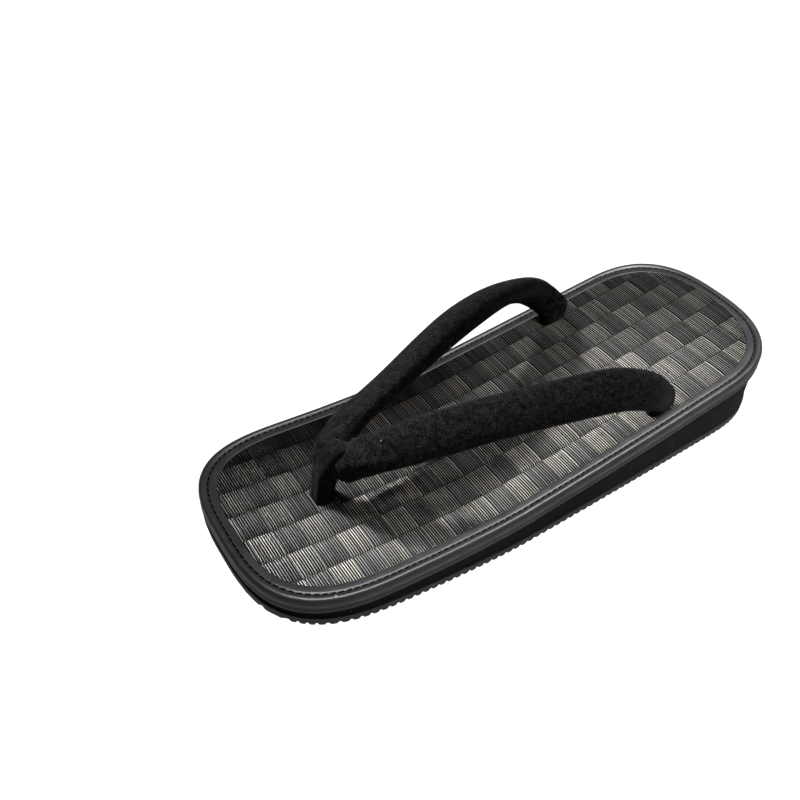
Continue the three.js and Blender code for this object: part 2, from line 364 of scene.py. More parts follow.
def newFinish(name, **sockets):
    material = bpy.data.materials.new(name)
    material.use_nodes = True
    tree = material.node_tree
    shader = tree.nodes["Principled BSDF"]
    for label, value in sockets.items():
        shader.inputs[label.replace("_", " ")].default_value = value
    place = tree.nodes.new("ShaderNodeTexCoord")
    return material, tree, shader, place.outputs["Object"]


def useGroup(tree, group, vector, **values):
    node = tree.nodes.new("ShaderNodeGroup")
    node.node_tree = group
    tree.links.new(vector, node.inputs["Vector"])
    for label, value in values.items():
        node.inputs[label].default_value = value
    return node.outputs[0]


def mixColours(tree, factor, first, second):
    node = tree.nodes.new("ShaderNodeMix")
    node.data_type = "RGBA"
    tree.links.new(factor, node.inputs["Factor"])
    colours = [socket for socket in node.inputs if socket.type == "RGBA"]
    feed(tree, colours[0], first)
    feed(tree, colours[1], second)
    return [socket for socket in node.outputs if socket.type == "RGBA"][0]


def bumpFrom(tree, shader, height, depth):
    node = tree.nodes.new("ShaderNodeBump")
    node.inputs["Distance"].default_value = depth
    tree.links.new(height, node.inputs["Height"])
    tree.links.new(node.outputs["Normal"], shader.inputs["Normal"])


print("frame loaded, node groups made")


# Outsole: waved rubber sheet with a framed plain panel

tread = {
    "thickness": 4 * mm,
    "pitch": 3.75 * mm,
    "grooveWidth": 1.9 * mm,
    "depth": 1.3 * mm,
    "waveLength": 14.4 * mm,
    "waveSharpness": 0.96,  # 1 is a plain zigzag
    "swing": 1.5 * mm,
    "endFade": 7 * mm,
    "tipGap": 0.4 * mm,
    "rows": 72,
    "panelCentre": -62 * mm,
    "panelSize": (50 * mm, 24 * mm),
    "panelInset": 0.6 * mm,
    "panelCorner": 3 * mm,
    "panelRoot": 0.4 * mm,  # how far the panel is sunk into the sheet
    "frameWidth": 1.2 * mm,
    "frameInset": 0.12 * mm,
    "black": (0.016, 0.016, 0.017),
    "sideGrey": (0.026, 0.026, 0.027),
    "sideBand": 1.5 * mm,
}


def grooveSteps():
    # columns across one rib and groove, as offset from the groove's middle and share of its depth
    half = tread["grooveWidth"] / 2
    ridge = tread["pitch"] / 2
    return [(-ridge, 0), (-half, 0.05), (-half * 0.4, 0.86), (0, 1), (half * 0.4, 0.86), (half, 0.05)]


def roundedWave(y):
    # zigzag with its corners rounded, from -1 to 1
    sharpness = tread["waveSharpness"]
    return np.arcsin(sharpness * np.cos(2 * math.pi * y / tread["waveLength"])) / math.asin(sharpness)


def makeOutsole():
    steps = grooveSteps()
    grooves = int(halfLength // tread["pitch"])
    columns = []
    for groove in range(-grooves, grooves + 1):
        columns += [(groove * tread["pitch"] + offset, share) for offset, share in steps]
    columns = [c for c in columns if abs(c[0]) < halfLength - tread["tipGap"]]
    tips = [(halfLength - back * mm, 0) for back in (0.2, 0.07, 0.015, 0)]  # closer and closer to the tip
    columns = [(-x, share) for x, share in reversed(tips)] + columns + tips
    piece, column, across, upper = newSlab("waved_outsole", len(columns) - 1, tread["rows"])
    start = np.array([c[0] for c in columns])[column]
    share = np.array([c[1] for c in columns])[column]
    swing = tread["swing"] * smoothStep(halfLength - np.abs(start), 0, tread["endFade"])
    x = start.copy()
    for turn in range(5):  # the wave moves a column, which moves its place on the edge
        y = across * edgeAt(x, 0)
        x = start + swing * roundedWave(y)
    x = np.clip(x, -halfLength, halfLength)
    y = across * edgeAt(x, 0)
    depth = share * tread["depth"]
    length, width = tread["panelSize"]
    inPanel = (np.abs(x - tread["panelCentre"]) < length / 2) & (np.abs(y) < width / 2)
    depth = np.where(inPanel, tread["depth"], depth)
    z = bottomHeight(x) + np.where(upper, tread["thickness"], depth)
    writePoints(piece, np.stack([x, y, z], 1))
    facesOut(piece)
    panel = makePanel()
    pick(panel)
    piece.select_set(True)
    bpy.context.view_layer.objects.active = piece
    bpy.ops.object.join()
    smoothShade(piece, 35)
    return piece


def makePanel():
    # plain plate with a raised frame and cut corners
    length, width = tread["panelSize"]
    low = tread["frameInset"]
    high = tread["depth"] + tread["panelRoot"]
    bpy.ops.object.select_all(action="DESELECT")
    bpy.ops.mesh.primitive_cube_add(size=1, location=(tread["panelCentre"], 0, (low + high) / 2))
    panel = nameNewest("panel")
    panel.scale = (length, width, high - low)
    bpy.ops.object.transform_apply(location=True, rotation=True, scale=True)
    spots = readPoints(panel)
    pickParts(panel, "EDGE", lambda edge: abs(spots[edge.vertices[0], 2] - spots[edge.vertices[1], 2]) > low)
    bpy.ops.mesh.bevel(offset=tread["panelCorner"], segments=1)
    bpy.ops.object.mode_set(mode="OBJECT")
    pickParts(panel, "FACE", lambda face: face.normal.z < -0.5)
    bpy.ops.mesh.inset(thickness=tread["frameWidth"])
    bpy.ops.transform.translate(value=(0, 0, tread["panelInset"] - low))
    bpy.ops.object.mode_set(mode="OBJECT")
    return panel


def rubberFinish(name, colour, roughness):
    material, tree, shader, place = newFinish(name, Roughness=roughness)
    drift = useGroup(tree, toneNodes, place, Scale=90, Low=0.0, High=1.0)
    darker = tuple(c * 0.7 for c in colour)
    tree.links.new(mixColours(tree, drift, darker, colour), shader.inputs["Base Color"])
    grain = useGroup(tree, grainNodes, place, Scale=2600, Coarse=0.8)
    bumpFrom(tree, shader, grain, 0.12 * mm)
    return material


outsole = makeOutsole()
outsole.data.materials.append(rubberFinish("tread_black", tread["black"], 0.72))
outsole.data.materials.append(rubberFinish("tread_side_grey", tread["sideGrey"], 0.6))
for face in outsole.data.polygons:
    upright = abs(face.normal.z) < 0.5
    atEdge = abs(face.center.y) > edgeAt(face.center.x, tread["sideBand"])
    face.material_index = int(upright and atEdge)
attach(outsole, "root")
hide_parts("outsole")
print("outsole", len(outsole.data.polygons), "faces")


# Midsole: sponge wedge

wedge = {
    "around": 420,
    "rows": 16,
    "footInset": 0.7 * mm,
    "wallInset": 1.5 * mm,
    "overOutsole": 0.02 * mm,
    "underMat": 2.5 * mm,
    "black": (0.0065, 0.0065, 0.007),
    "dust": (0.25, 0.25, 0.25),
}


def makeWedge():
    stops = np.append(evenStops(wedge["around"])[0][:wedge["around"] // 2], 3)
    piece, column, across, upper = newSlab("sponge_wedge", len(stops) - 1, wedge["rows"])
    inset = np.where(upper, wedge["wallInset"], wedge["footInset"])
    x, edge = outlineAt(stops[column], inset)
    foot = bottomHeight(x) + tread["thickness"] + wedge["overOutsole"]
    z = np.where(upper, topHeight(x) - wedge["underMat"], foot)
    writePoints(piece, np.stack([x, across * edge, z], 1))
    facesOut(piece)
    smoothShade(piece, 40)
    return piece


def spongeFinish():
    material, tree, shader, place = newFinish("black_sponge", Roughness=0.9, Specular_IOR_Level=0.25)
    drift = useGroup(tree, toneNodes, place, Scale=60, Low=0.0, High=1.0)
    dark = tuple(c * 0.6 for c in wedge["black"])
    tone = mixColours(tree, drift, dark, wedge["black"])
    dust = useGroup(tree, dustNodes, place, Scale=420, Share=0.05, Size=0.16)
    tree.links.new(mixColours(tree, dust, tone, wedge["dust"]), shader.inputs["Base Color"])
    pores = useGroup(tree, grainNodes, place, Scale=1900, Coarse=0.5)
    bumpFrom(tree, shader, pores, 0.25 * mm)
    return material


sponge = makeWedge()
sponge.data.materials.append(spongeFinish())
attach(sponge, "root")
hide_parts("midsole")
print("wedge", len(sponge.data.polygons), "faces")


# Binding: vinyl tape folded over the rim, with its stitches

tape = {
    "around": 460,
    "stitchInset": 3.7 * mm,
    "stitchPitch": 3.0 * mm,
    "stitchLength": 2.75 * mm,
    "stitchWidth": 0.65 * mm,
    "stitchHeight": 0.5 * mm,
    "stitchLift": 0.12 * mm,
    "stitchTwist": 6,
    "stitchBluntness": 0.7,  # 1 is an egg, less is nearer to a block
    "black": (0.019, 0.0195, 0.0205),
    "thread": (0.004, 0.004, 0.004),
    "nickPlace": (109.3 * mm, 43.1 * mm, 28.8 * mm),
    "nickSize": 0.5 * mm,
    "nickLight": (0.22, 0.22, 0.21),
}
# section of the tape from its hidden inner corner out over the rim, as inset and rise
tapeSection = [
    {"inset": 1.2, "rise": -2.3},
    {"inset": 4.0, "rise": -2.3},
    {"inset": 6.6, "rise": -2.0},
    {"inset": 6.95, "rise": -0.6},
    {"inset": 7.0, "rise": 0.0},
    {"inset": 6.9, "rise": 0.22},
    {"inset": 6.6, "rise": 0.3},
    {"inset": 5.6, "rise": 0.34},
    {"inset": 4.7, "rise": 0.34},
    {"inset": 4.25, "rise": 0.3},
    {"inset": 3.95, "rise": 0.1},
    {"inset": 3.7, "rise": 0.02},
    {"inset": 3.45, "rise": 0.12},
    {"inset": 3.15, "rise": 0.42},
    {"inset": 2.6, "rise": 0.75},
    {"inset": 1.7, "rise": 0.85},
    {"inset": 0.9, "rise": 0.45},
    {"inset": 0.35, "rise": -0.45},
    {"inset": 0.08, "rise": -1.6},
    {"inset": 0.15, "rise": -2.6},
    {"inset": 0.42, "rise": -3.5},
    {"inset": 0.42, "rise": -4.2},
    {"inset": 0.1, "rise": -5.0},
    {"inset": -0.08, "rise": -5.7},
    {"inset": 0.05, "rise": -6.4},
    {"inset": 0.5, "rise": -6.8},
    {"inset": 1.2, "rise": -6.7},
]


def makeTape():
    bpy.ops.object.select_all(action="DESELECT")
    bpy.ops.mesh.primitive_torus_add(major_segments=tape["around"], minor_segments=len(tapeSection),
                                     major_radius=2, minor_radius=1)
    piece = nameNewest("rim_tape")
    points = readPoints(piece)
    turn = np.arctan2(points[:, 1], points[:, 0]) / (2 * math.pi)
    spot = np.rint(turn * tape["around"]).astype(int) % tape["around"]
    bend = np.arctan2(points[:, 2], np.hypot(points[:, 0], points[:, 1]) - 2) / (2 * math.pi)
    row = np.rint(bend * len(tapeSection)).astype(int) % len(tapeSection)
    stops = evenStops(tape["around"])[0]
    inset = np.array([r["inset"] for r in tapeSection])[row] * mm
    rise = np.array([r["rise"] for r in tapeSection])[row] * mm
    x, y = outlineAt(stops[spot], inset)
    writePoints(piece, np.stack([x, y, topHeight(x) + rise], 1))
    facesOut(piece)
    applyModifier(piece, "SUBSURF", levels=1, render_levels=1)
    smoothShade(piece)
    return piece


def makeStitches():
    bpy.ops.object.select_all(action="DESELECT")
    bpy.ops.mesh.primitive_uv_sphere_add(segments=8, ring_count=6, radius=0.5)
    model = nameNewest("stitch")
    size = np.array([tape["stitchLength"], tape["stitchWidth"], tape["stitchHeight"]])
    ball = readPoints(model)
    writePoints(model, np.sign(ball) * np.abs(ball * 2) ** tape["stitchBluntness"] / 2 * size)
    run = evenStops(1, tape["stitchInset"])[1]
    count = int(run // tape["stitchPitch"])
    stops = evenStops(count, tape["stitchInset"])[0]
    x, y = outlineAt(stops, tape["stitchInset"])
    seam = np.stack([x, y, topHeight(x)], 1)
    ahead = np.roll(seam, -1, 0) - np.roll(seam, 1, 0)
    twist = Matrix.Rotation(math.radians(tape["stitchTwist"]), 4, "Z")
    places = []
    for i in range(count):
        yaw = math.atan2(ahead[i, 1], ahead[i, 0])
        pitch = -math.atan2(ahead[i, 2], math.hypot(ahead[i, 0], ahead[i, 1]))
        lift = Matrix.Translation(seam[i] + (0, 0, tape["stitchLift"]))
        turned = Matrix.Rotation(yaw, 4, "Z") @ Matrix.Rotation(pitch, 4, "Y")
        places.append(lift @ turned @ twist)
    piece = joinedCopies("rim_stitches", model, places)
    smoothShade(piece)
    return piece


def vinylFinish():
    material, tree, shader, place = newFinish("satin_vinyl", Specular_IOR_Level=0.5, Coat_Weight=0.08,
                                              Coat_Roughness=0.25)
    drift = useGroup(tree, toneNodes, place, Scale=70, Low=0.0, High=1.0)
    dark = tuple(c * 0.75 for c in tape["black"])
    tone = mixColours(tree, drift, dark, tape["black"])
    gap = tree.nodes.new("ShaderNodeVectorMath")
    gap.operation = "DISTANCE"
    tree.links.new(place, gap.inputs[0])
    gap.inputs[1].default_value = tape["nickPlace"]
    nick = mathNode(tree, "LESS_THAN", gap.outputs["Value"], tape["nickSize"])
    tree.links.new(mixColours(tree, nick, tone, tape["nickLight"]), shader.inputs["Base Color"])
    rough = useGroup(tree, toneNodes, place, Scale=160, Low=0.33, High=0.46)
    tree.links.new(rough, shader.inputs["Roughness"])
    grain = useGroup(tree, grainNodes, place, Scale=900, Coarse=1.5)
    bumpFrom(tree, shader, grain, 0.10 * mm)
    return material


rimTape = makeTape()
rimTape.data.materials.append(vinylFinish())
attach(rimTape, "root")
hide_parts("edge_binding")

stitches = makeStitches()
thread = newFinish("black_thread", Base_Color=(*tape["thread"], 1), Roughness=0.8, Specular_IOR_Level=0.1)[0]
stitches.data.materials.append(thread)
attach(stitches, "root")
print("tape", len(rimTape.data.polygons), "faces, stitches", len(stitches.data.polygons), "faces")


# Strap: two padded velvet arms, joined at the toe

strap = {
    "around": 40,
    "levels": 96,
    "power": 2.3,
    "voxel": 0.7 * mm,
    "smoothing": 6,
    "nearLift": 2.2 * mm,  # the near arm stands a little higher behind
    "liftPlace": (-32 * mm, 20 * mm),  # middle and reach along the sandal
    "nearFront": 1.8 * mm,  # and its front end sits a little further back
    "frontReach": (66 * mm, 88 * mm),
    "nearTuck": 2.0 * mm,  # its rear bend is tighter than the far one's
    "tuckReach": (44 * mm, 58 * mm),
    "tuckHeight": (28 * mm, 36 * mm),
    "farLobe": 3.0 * mm,  # the far arm's end bulges back over its hole
    "lobeReach": (50 * mm, 60 * mm),
    "lobeHeight": (32 * mm, 5 * mm),
    "farLift": 3.6 * mm,  # its middle stands higher and is fuller
    "farFull": 0.45,
    "fullPlace": (5 * mm, 37 * mm),
    "black": (0.0008, 0.0008, 0.0009),
    "napLight": (0.0185, 0.0185, 0.019),
    "napRange": (0.61, 0.83),  # heights of the grain between which the nap turns light
    "lint": (0.36, 0.36, 0.37),
}
# one arm from the joint at the toe back to its hole
armSections = [
    {"x": 88, "y": 5.6, "z": 47.2, "width": 6, "thickness": 5.6, "lean": 0},
    {"x": 85.2, "y": 5.4, "z": 48.2, "width": 11.6, "thickness": 8.8, "lean": 8},
    {"x": 79.4, "y": 6.2, "z": 49.7, "width": 14, "thickness": 9.4, "lean": 18},
    {"x": 70, "y": 10.4, "z": 51.2, "width": 16.4, "thickness": 9.2, "lean": 30},
    {"x": 52, "y": 15.4, "z": 52.9, "width": 18, "thickness": 9, "lean": 36},
    {"x": 28, "y": 22, "z": 55, "width": 18, "thickness": 9, "lean": 38},
    {"x": 2, "y": 29.3, "z": 55.7, "width": 18, "thickness": 9, "lean": 40},
    {"x": -22.5, "y": 36, "z": 53.8, "width": 18, "thickness": 9, "lean": 45},
    {"x": -42.5, "y": 40.4, "z": 46.8, "width": 17, "thickness": 9, "lean": 58},
    {"x": -54.4, "y": 39.9, "z": 37.8, "width": 15.3, "thickness": 8.2, "lean": 75},
    {"x": -58.4, "y": 37.9, "z": 31.4, "width": 14.4, "thickness": 7.2, "lean": 84},
    {"x": -58.9, "y": 35.6, "z": 22, "width": 12.4, "thickness": 5.4, "lean": 88},
]

# folds where the far arm bends down and where both arms are squeezed at the front;
# a row with a negative depth is a ridge, as the padding under the joint is
strapFolds = [
    {"from": (-48.5, -36, 34.5), "to": (-54, -36.8, 37.8), "width": 1.3, "depth": 1.6},
    {"from": (-54, -36.8, 37.8), "to": (-62, -36, 36.6), "width": 1.4, "depth": 2.3},
    {"from": (-62, -36, 36.6), "to": (-68, -35, 33.5), "width": 1.2, "depth": 1.3},
    {"from": (-54, -33.8, 31), "to": (-63, -33.8, 31.5), "width": 3.0, "depth": -1.5},
    {"from": (-46, -37.5, 51), "to": (-55, -37, 44), "width": 3.0, "depth": 0.5},
    {"from": (-44, 45.5, 42), "to": (-55, 43.5, 36), "width": 2.2, "depth": 0.5},
    {"from": (89.5, -7.6, 48.5), "to": (77, -7.4, 53.0), "width": 2.1, "depth": 3.2},
    {"from": (86, 1.5, 47), "to": (78, 1, 52.5), "width": 1.2, "depth": 1.0},
    {"from": (76, 6, 55), "to": (72, 15, 52), "width": 2.5, "depth": 0.45},
    {"from": (84, 10.5, 48), "to": (74, 17, 48), "width": 1.8, "depth": 0.4},
    {"from": (88, 5.5, 41), "to": (75, 10, 42.5), "width": 4.2, "depth": -4.5},
    {"from": (88, -5.5, 41), "to": (75, -10, 42.5), "width": 4.2, "depth": -4.5},
]


def armValue(key, along):
    # one column of the sections, along from 0 to 1
    values = np.array([row[key] for row in armSections], dtype=float)
    last = len(values) - 1
    place = np.clip(along, 0, 1) * last
    row = np.minimum(place.astype(int), last - 1)
    return throughRows(lambda i: values[np.clip(i, 0, last)], row, place - row)


def armPoint(along):
    return np.stack([armValue(key, along) for key in "xyz"], -1) * mm


def roundedSide(wave):
    # sine or cosine of a section with fuller corners than an ellipse has
    return np.sign(wave) * np.abs(wave) ** (2 / strap["power"])


def makeArm(name, side):
    piece, spot, level = newTube(name, strap["around"], strap["levels"])
    along = level / strap["levels"]
    step = 0.5 / strap["levels"]
    tangent = unit(armPoint(along + step) - armPoint(along - step))
    lean = np.radians(armValue("lean", along))
    face = np.stack([np.zeros_like(lean), np.sin(lean), np.cos(lean)], -1)
    face = unit(face - tangent * np.sum(face * tangent, -1, keepdims=True))
    across = np.cross(face, tangent)
    middle = armPoint(along)
    full = hump(middle[:, 0], *strap["fullPlace"])
    thickness = armValue("thickness", along) * mm
    if side < 0:
        thickness = thickness * (1 + strap["farFull"] * full)
    angle = 2 * math.pi * spot / strap["around"]
    u = roundedSide(np.cos(angle)) * armValue("width", along) / 2 * mm
    v = roundedSide(np.sin(angle)) * thickness / 2
    points = middle + across * u[:, None] + face * v[:, None]
    x, z = points[:, 0].copy(), points[:, 2].copy()
    if side > 0:
        front = strap["nearFront"] * smoothStep(x, *strap["frontReach"])
        tuck = smoothStep(-x, *strap["tuckReach"]) * smoothStep(z, *strap["tuckHeight"])
        points[:, 0] += strap["nearTuck"] * tuck - front
        points[:, 2] += strap["nearLift"] * hump(x, *strap["liftPlace"]) - front / 2
    else:
        lobe = smoothStep(-x, *strap["lobeReach"]) * hump(z, *strap["lobeHeight"])
        points[:, 0] -= strap["farLobe"] * lobe
        points[:, 2] += strap["farLift"] * full
    points[:, 1] *= side
    writePoints(piece, points)
    facesOut(piece)
    return piece


def makeStrap():
    near = makeArm("velvet_strap", 1)
    far = makeArm("far_arm", -1)
    pick(near)
    far.select_set(True)
    bpy.ops.object.join()
    applyModifier(near, "REMESH", mode="VOXEL", voxel_size=strap["voxel"])
    applyModifier(near, "SMOOTH", factor=0.5, iterations=strap["smoothing"])
    pressFolds(near, strapFolds)
    smoothShade(near)
    return near


def velvetFinish(name):
    material, tree, shader, place = newFinish(name, Roughness=0.9, Specular_IOR_Level=0.05,
                                              Sheen_Weight=0.035, Sheen_Roughness=0.4)
    nap = useGroup(tree, grainNodes, place, Scale=2300, Coarse=0.35)
    patch = rangeNode(tree, nap, *strap["napRange"], 0.0, 1.0)
    pile = mixColours(tree, patch, strap["black"], strap["napLight"])
    lint = useGroup(tree, dustNodes, place, Scale=260, Share=0.1, Size=0.11)
    tree.links.new(mixColours(tree, lint, pile, strap["lint"]), shader.inputs["Base Color"])
    bumpFrom(tree, shader, nap, 0.35 * mm)
    return material


velvetStrap = makeStrap()
velvetStrap.data.materials.append(velvetFinish("black_velvet"))
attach(velvetStrap, "root")
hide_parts("strap")
print("strap", len(velvetStrap.data.polygons), "faces")


# Toe loop: velvet band over the joint and down between the toes

loop = {
    "width": 8.2 * mm,
    "rounding": 2.4 * mm,
    "slant": 0.45,  # how far the top runs back across its width
    "slantHeight": (40 * mm, 54 * mm),
    "shift": -1.8 * mm,  # it stands a little to one side
    "spread": 3.0 * mm,  # its top is drawn out over the near arm's end
    "spreadHeight": (37 * mm, 48 * mm),
    "evenness": 1.5,  # more brings the levels closer to its two sides
    "around": 72,
    "levels": 12,
    "voxel": 0.55 * mm,
    "smoothing": 4,
}
# its side view, from the hole round the strap's joint
loopProfile = [
    {"x": 86, "z": 22},
    {"x": 94.2, "z": 22},
    {"x": 93.8, "z": 29},
    {"x": 92.8, "z": 37},
    {"x": 91.4, "z": 46},
    {"x": 89.8, "z": 51},
    {"x": 87, "z": 54},
    {"x": 82.8, "z": 54.2},
    {"x": 79, "z": 52.2},
    {"x": 77.2, "z": 48},
    {"x": 78.8, "z": 43.4},
    {"x": 82, "z": 38.4},
    {"x": 84.8, "z": 31},
]

# folds of the loop: across its front and top, down its middle and at the foot
loopFolds = [
    {"from": (93, -3.6, 38.5), "to": (90, 2.3, 42), "width": 0.9, "depth": 0.75},
    {"from": (91.2, -2.2, 49), "to": (92.8, -2, 43), "width": 0.9, "depth": 0.45},
    {"from": (91, -4.6, 49.5), "to": (80, -3.6, 54), "width": 0.9, "depth": 1.3},
    {"from": (93.8, -1.6, 35), "to": (94, -1.8, 28), "width": 1.0, "depth": 0.4},
    {"from": (93.8, -5.6, 30), "to": (90.6, -6, 33), "width": 1.2, "depth": 0.5},
]


def loopOutline(place):
    # closed smooth curve through the side view, place from 0 to 1
    corners = np.array([[row["x"], row["z"]] for row in loopProfile]) * mm
    count = len(corners)
    row = np.floor(place * count).astype(int)
    part = (place * count - row)[:, None]
    return throughRows(lambda i: corners[i % count], row, part)


def makeLoop():
    piece, spot, level = newTube("toe_loop", loop["around"], loop["levels"])
    place = spot / loop["around"]
    step = 0.5 / loop["around"]
    here = loopOutline(place)
    ahead = loopOutline((place + step) % 1) - loopOutline((place - step) % 1)
    outward = unit(np.stack([ahead[:, 1], -ahead[:, 0]], 1))
    swing = np.sin((level / loop["levels"] - 0.5) * math.pi)
    flank = np.sign(swing) * (1 - (1 - np.abs(swing)) ** loop["evenness"])
    half = loop["width"] / 2
    y = half * flank
    corner = np.maximum(np.abs(y) - (half - loop["rounding"]), 0) / loop["rounding"]
    draw = loop["rounding"] * (1 - np.sqrt(np.maximum(1 - corner ** 2, 0)))
    x, z = (here - outward * draw[:, None]).T
    x = x - loop["slant"] * y * smoothStep(z, *loop["slantHeight"])
    spread = loop["spread"] * np.maximum(flank, 0) * smoothStep(z, *loop["spreadHeight"])
    writePoints(piece, np.stack([x, y + loop["shift"] + spread, z], 1))
    facesOut(piece)
    applyModifier(piece, "REMESH", mode="VOXEL", voxel_size=loop["voxel"])
    applyModifier(piece, "SMOOTH", factor=0.5, iterations=loop["smoothing"])
    pressFolds(piece, loopFolds)
    smoothShade(piece)
    return piece


toeLoop = makeLoop()
toeLoop.data.materials.append(velvetFinish("loop_black_velvet"))
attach(toeLoop, "root")
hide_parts("toe_post")
print("loop", len(toeLoop.data.polygons), "faces")


# Mat: woven ribs across the sole, dark and light checks in rows

mat = {
    "inset": 6.75 * mm,
    "ribMiddle": 1.6 * mm,
    "ribPitch": 1.058 * mm,
    "ribCrowding": 0.000179 * mm,
    "ribsPerCheck": 10,
    "stepsPerRib": 4,
    "rowStart": -33.2 * mm,
    "rowWidth": 12.55 * mm,
    "rowSkew": 0.0085,
    "stepsAcross": 92,
    "ribHeight": 0.42 * mm,
    "ribFullness": 0.8,
    "pillow": 0.42 * mm,
    "rowDip": 0.45,  # share by which ribs sink where the rows change
    "dipReach": 1.2 * mm,
    "top": 0.05 * mm,
    "underside": 2.3 * mm,
    "tipReach": 1 * mm,
    "holeDepth": 1.5 * mm,
    "holeSag": 0.5 * mm,  # and the mat round a hole is drawn down
    "lightStrip": (0.48, 0.478, 0.428),
    "darkStrip": (0.262, 0.266, 0.262),
    # painted shade: the near-black colour of the gaps between ribs
    "gap": (0.001, 0.001, 0.001),
    "ribTopVsGapShade": (0.06, 0.17),  # from its crest, where a rib starts and ends to turn into the gap, whose colour is painted shade
    "ribGloss": (0.18, 0.34),
    "stripRoughness": 0.25,
    "checkTone": (0.8, 1.15),
    "ribTone": (0.6, 1.3),
    "paintedPillowShade": (1.25, 0.75),  # painted highlight and shade: strips are lighter at their far ends and darker at their near ends, as light falls on the pillowed rows
}
# holes that the strap ends and the loop go into: centre and half sizes
matHoles = [
    {"x": -58.6, "y": 36.8, "halfX": 6.9, "halfY": 3.3, "power": 2.4},
    {"x": -58.6, "y": -36.8, "halfX": 6.9, "halfY": 3.3, "power": 2.4},
    {"x": 89.9, "y": -1.8, "halfX": 4.4, "halfY": 4.5, "power": 4},
]


def ribPlace(rib):
    return mat["ribMiddle"] + mat["ribPitch"] * rib - mat["ribCrowding"] * rib ** 2


def ribAt(x):
    pitch, crowding = mat["ribPitch"], mat["ribCrowding"]
    return (pitch - math.sqrt(pitch ** 2 - 4 * crowding * (x - mat["ribMiddle"]))) / (2 * crowding)


def matHeight(rib, x, y):
    row = (y - mat["rowStart"] - mat["rowSkew"] * x) / mat["rowWidth"]
    dark = (np.floor(row) + np.floor(rib / mat["ribsPerCheck"] + 1e-6)) % 2
    wave = (rib + 0.5 * dark) % 1
    crest = np.sin(math.pi * wave) ** mat["ribFullness"]
    inCheck = rib % mat["ribsPerCheck"]
    fromSide = np.minimum(inCheck, mat["ribsPerCheck"] - inCheck)
    halfRib = 0.5 + 0.5 * smoothStep(fromSide, 0.2, 0.5)  # a dark check has low half ribs at its sides
    crest = crest * np.where(dark > 0.5, halfRib, 1)
    part = row % 1
    fromEnd = np.minimum(part, 1 - part) * mat["rowWidth"]
    arch = 1 - np.abs(2 * part - 1) ** 3
    dip = 1 - mat["rowDip"] * (1 - smoothStep(fromEnd, 0, mat["dipReach"]))
    height = mat["ribHeight"] * (crest * dip - 1) + mat["pillow"] * (arch - 1)
    for hole in matHoles:
        reach = (np.abs(x / mm - hole["x"]) / hole["halfX"]) ** hole["power"]
        reach = reach + (np.abs(y / mm - hole["y"]) / hole["halfY"]) ** hole["power"]
        height = height - mat["holeDepth"] * (1 - smoothStep(reach, 0.8, 1.15))
        height = height - mat["holeSag"] * np.exp(-np.maximum(reach - 1, 0) / 1.5)
    return height, row


def makeMat():
    end = halfLength - mat["inset"]
    steps = mat["stepsPerRib"]
    first = math.ceil(ribAt(-end) * steps)
    last = math.floor(ribAt(end) * steps)
    ribs = np.concatenate([[ribAt(-end)], np.arange(first, last + 1) / steps, [ribAt(end)]])
    bpy.ops.object.select_all(action="DESELECT")
    bpy.ops.mesh.primitive_grid_add(x_subdivisions=len(ribs) - 1, y_subdivisions=mat["stepsAcross"], size=2)
    piece = nameNewest("woven_mat")
    points = readPoints(piece)
    rib = ribs[np.rint((points[:, 0] + 1) / 2 * (len(ribs) - 1)).astype(int)]
    x = np.clip(ribPlace(rib), -end, end)
    y = points[:, 1] * edgeAt(x, mat["inset"])
    height, row = matHeight(rib, x, y)
    writePoints(piece, np.stack([x, y, topHeight(x) + mat["top"] + height], 1))
    corner = np.empty(len(piece.data.loops), dtype=np.int32)
    piece.data.loops.foreach_get("vertex_index", corner)
    weave = piece.data.uv_layers.active or piece.data.uv_layers.new(name="weave")
    weave.name = "weave"
    weave.data.foreach_set("uv", np.stack([rib[corner], row[corner]], 1).astype(np.float32).ravel())
    bpy.ops.object.mode_set(mode="EDIT")
    bpy.ops.mesh.select_all(action="SELECT")
    bpy.ops.mesh.remove_doubles(threshold=0.001 * mm)
    bpy.ops.mesh.region_to_loop()
    bpy.ops.mesh.extrude_region_move(TRANSFORM_OT_translate={"value": (0, 0, -mat["underside"] - mat["top"])})
    bpy.ops.object.mode_set(mode="OBJECT")
    side = readPoints(piece)[:, 1]
    hanging = {edge.index for edge in piece.data.edges if edge.select}

    def longSide(edge):  # the two long sides of the underside, without the tips
        a, b = side[edge.vertices[0]], side[edge.vertices[1]]
        return edge.index in hanging and a * b > 0 and min(abs(a), abs(b)) > mat["tipReach"]

    pickParts(piece, "EDGE", longSide)
    bpy.ops.mesh.bridge_edge_loops()
    bpy.ops.mesh.select_all(action="DESELECT")
    bpy.ops.mesh.select_non_manifold()
    bpy.ops.mesh.fill_holes(sides=0)
    bpy.ops.object.mode_set(mode="OBJECT")
    facesOut(piece)
    smoothShade(piece, 60)
    return piece


